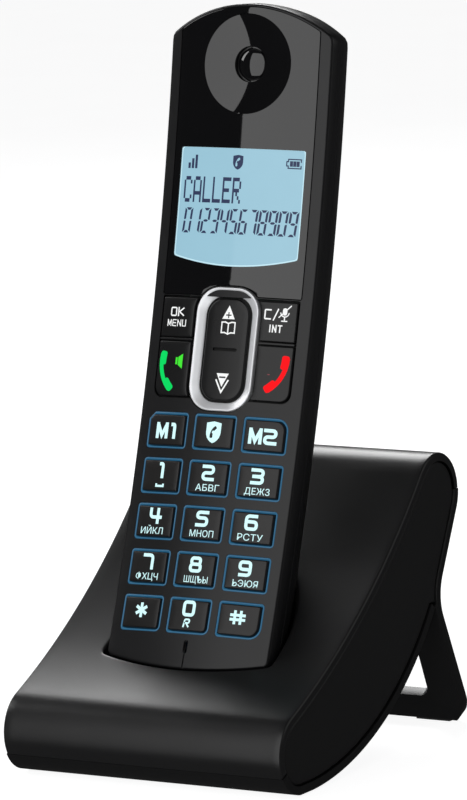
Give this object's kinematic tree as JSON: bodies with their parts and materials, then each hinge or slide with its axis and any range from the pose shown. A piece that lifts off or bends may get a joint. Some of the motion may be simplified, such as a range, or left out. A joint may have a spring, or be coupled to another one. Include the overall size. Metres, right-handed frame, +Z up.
{
  "type": "cordless phone with base",
  "caption": "Cordless telephone handset with backlit display and keypad standing in a wedge-shaped charging base with a rear leg.",
  "frame": {"origin": "on the desk, under the middle of the object's box", "axes": "+Z up along the handset's height, the keypad faces -Y, +X to the right seen from the front"},
  "size_m": [0.082, 0.0989, 0.1916],
  "materials": {
    "base_textured_black": "fine-grained satin",
    "base_smooth_black": "smooth satin",
    "handset_black": "satin",
    "gloss_black": "high gloss",
    "key_black": "soft satin",
    "satin_silver": "satin silver paint",
    "glow_blue": "translucent, lit from behind",
    "lcd_blue": "backlit display",
    "white_plastic": "moulded",
    "board_green": "solder mask",
    "tin_metal": "tinned sheet",
    "gold_contact": "gold plated",
    "rubber_grey": "matt",
    "silicone_grey": "moulded silicone",
    "cell_sleeve": "printed sleeve without lettering"
  },
  "bodies": {
    "base": {"base_front_shell": "base_textured_black", "base_rear_cover": "base_smooth_black", "base_bottom_cover": "base_smooth_black", "side_panel_left": "base_smooth_black", "side_panel_right": "base_smooth_black", "base_pcb": "board_green", "base_rf_shield": "tin_metal", "base_antenna": "gold_contact", "line_jack": "gloss_black", "power_jack": "gloss_black", "page_switch": "tin_metal", "charge_springs": "gold_contact", "base_feet": "rubber_grey", "base_screws": "tin_metal"},
    "handset": {"handset_front_shell": "handset_black", "handset_rear_shell": "handset_black", "display_window": "gloss_black", "earpiece_cap": "gloss_black", "earpiece_speaker": "tin_metal", "lcd_module": "lcd_blue", "lcd_holder": "white_plastic", "nav_ring": "satin_silver", "keypad_light_guide": "glow_blue", "keypad_mat": "silicone_grey", "handset_pcb": "board_green", "handset_rf_shield": "tin_metal", "handset_antenna": "gold_contact", "microphone": "tin_metal", "ringer_speaker": "tin_metal", "battery_cells": "cell_sleeve", "battery_contacts": "tin_metal", "handset_charge_pads": "gold_contact", "handset_screws": "tin_metal"},
    "page_button": {"page_button": "key_black"},
    "battery_door": {"battery_door": "handset_black"},
    "nav_rocker": {"nav_rocker": "key_black"},
    "key_star": {"key_star": "key_black"},
    "key_0": {"key_0": "key_black"},
    "key_hash": {"key_hash": "key_black"},
    "key_7": {"key_7": "key_black"},
    "key_8": {"key_8": "key_black"},
    "key_9": {"key_9": "key_black"},
    "key_4": {"key_4": "key_black"},
    "key_5": {"key_5": "key_black"},
    "key_6": {"key_6": "key_black"},
    "key_1": {"key_1": "key_black"},
    "key_2": {"key_2": "key_black"},
    "key_3": {"key_3": "key_black"},
    "key_m1": {"key_m1": "key_black"},
    "key_block": {"key_block": "key_black"},
    "key_m2": {"key_m2": "key_black"},
    "key_ok_menu": {"key_ok_menu": "key_black"},
    "key_clear_int": {"key_clear_int": "key_black"},
    "key_talk": {"key_talk": "key_black"},
    "key_end": {"key_end": "key_black"}
  },
  "joints": [
    {"name": "handset_lift", "type": "slide", "parent": "base", "child": "handset", "axis": [0, 0.3955, 0.9184], "range_m": [0, 0.12]},
    {"name": "key_star_press", "type": "slide", "parent": "handset", "child": "key_star", "axis": [0, 0.9259, -0.3779], "range_m": [0, 0.0008], "stiffness_N_per_m": 400},
    {"name": "key_0_press", "type": "slide", "parent": "handset", "child": "key_0", "axis": [0, 0.9259, -0.3779], "range_m": [0, 0.0008], "stiffness_N_per_m": 400},
    {"name": "key_hash_press", "type": "slide", "parent": "handset", "child": "key_hash", "axis": [0, 0.9259, -0.3779], "range_m": [0, 0.0008], "stiffness_N_per_m": 400},
    {"name": "key_7_press", "type": "slide", "parent": "handset", "child": "key_7", "axis": [0, 0.9319, -0.3628], "range_m": [0, 0.0008], "stiffness_N_per_m": 400},
    {"name": "key_8_press", "type": "slide", "parent": "handset", "child": "key_8", "axis": [0, 0.9319, -0.3628], "range_m": [0, 0.0008], "stiffness_N_per_m": 400},
    {"name": "key_9_press", "type": "slide", "parent": "handset", "child": "key_9", "axis": [0, 0.9319, -0.3628], "range_m": [0, 0.0008], "stiffness_N_per_m": 400},
    {"name": "key_4_press", "type": "slide", "parent": "handset", "child": "key_4", "axis": [0, 0.9376, -0.3476], "range_m": [0, 0.0008], "stiffness_N_per_m": 400},
    {"name": "key_5_press", "type": "slide", "parent": "handset", "child": "key_5", "axis": [0, 0.9376, -0.3476], "range_m": [0, 0.0008], "stiffness_N_per_m": 400},
    {"name": "key_6_press", "type": "slide", "parent": "handset", "child": "key_6", "axis": [0, 0.9376, -0.3476], "range_m": [0, 0.0008], "stiffness_N_per_m": 400},
    {"name": "key_1_press", "type": "slide", "parent": "handset", "child": "key_1", "axis": [0, 0.9432, -0.3323], "range_m": [0, 0.0008], "stiffness_N_per_m": 400},
    {"name": "key_2_press", "type": "slide", "parent": "handset", "child": "key_2", "axis": [0, 0.9432, -0.3323], "range_m": [0, 0.0008], "stiffness_N_per_m": 400},
    {"name": "key_3_press", "type": "slide", "parent": "handset", "child": "key_3", "axis": [0, 0.9432, -0.3323], "range_m": [0, 0.0008], "stiffness_N_per_m": 400},
    {"name": "key_m1_press", "type": "slide", "parent": "handset", "child": "key_m1", "axis": [0, 0.9484, -0.317], "range_m": [0, 0.0008], "stiffness_N_per_m": 400},
    {"name": "key_block_press", "type": "slide", "parent": "handset", "child": "key_block", "axis": [0, 0.9484, -0.317], "range_m": [0, 0.0008], "stiffness_N_per_m": 400},
    {"name": "key_m2_press", "type": "slide", "parent": "handset", "child": "key_m2", "axis": [0, 0.9484, -0.317], "range_m": [0, 0.0008], "stiffness_N_per_m": 400},
    {"name": "key_ok_menu_press", "type": "slide", "parent": "handset", "child": "key_ok_menu", "axis": [0, 0.9574, -0.2889], "range_m": [0, 0.0008], "stiffness_N_per_m": 400},
    {"name": "key_clear_int_press", "type": "slide", "parent": "handset", "child": "key_clear_int", "axis": [0, 0.9574, -0.2889], "range_m": [0, 0.0008], "stiffness_N_per_m": 400},
    {"name": "key_talk_press", "type": "slide", "parent": "handset", "child": "key_talk", "axis": [0, 0.9574, -0.2889], "range_m": [0, 0.0008], "stiffness_N_per_m": 400},
    {"name": "key_end_press", "type": "slide", "parent": "handset", "child": "key_end", "axis": [0, 0.9574, -0.2889], "range_m": [0, 0.0008], "stiffness_N_per_m": 400},
    {"name": "nav_tilt", "type": "hinge", "parent": "handset", "child": "nav_rocker", "pos_m": [0, 0.00287, 0.10407], "axis": [1, 0, 0], "range_deg": [-2.5, 2.5], "stiffness_Nm_per_rad": 0.05},
    {"name": "battery_door_slide", "type": "slide", "parent": "handset", "child": "battery_door", "axis": [0, -0.3511, -0.9363], "range_m": [0, 0.005]},
    {"name": "page_press", "type": "slide", "parent": "base", "child": "page_button", "axis": [0, -0.8796, 0.4756], "range_m": [0, 0.0006], "stiffness_N_per_m": 400}
  ]
}
